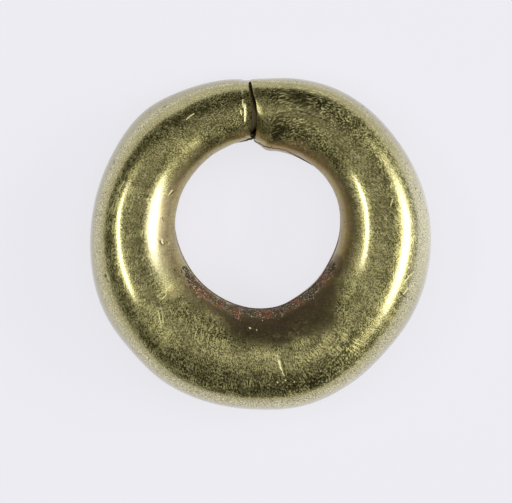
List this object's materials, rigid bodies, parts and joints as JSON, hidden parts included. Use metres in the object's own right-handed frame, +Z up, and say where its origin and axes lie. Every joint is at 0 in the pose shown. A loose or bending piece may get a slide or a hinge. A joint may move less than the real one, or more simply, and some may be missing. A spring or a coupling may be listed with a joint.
{
  "type": "penannular earring",
  "caption": "Plump, nearly closed ring of pale gold sheet over a copper-alloy core, tapering from a thick belly to a narrow slit between two flat ends.",
  "frame": {"origin": "under the middle of the ring, on the surface that it lies on", "axes": "+Z up through the bore, +X across the widest part of the ring, +Y towards the slit"},
  "size_m": [0.018, 0.0176, 0.0053],
  "materials": {
    "pale_gold": "burnished pale greenish gold, finely scratched",
    "core_metal": "dull corroded copper alloy"
  },
  "bodies": {
    "root": {"core_rod": "core_metal", "gold_sheet": "pale_gold", "end_disc_left": "pale_gold", "end_disc_right": "pale_gold"}
  },
  "joints": []
}
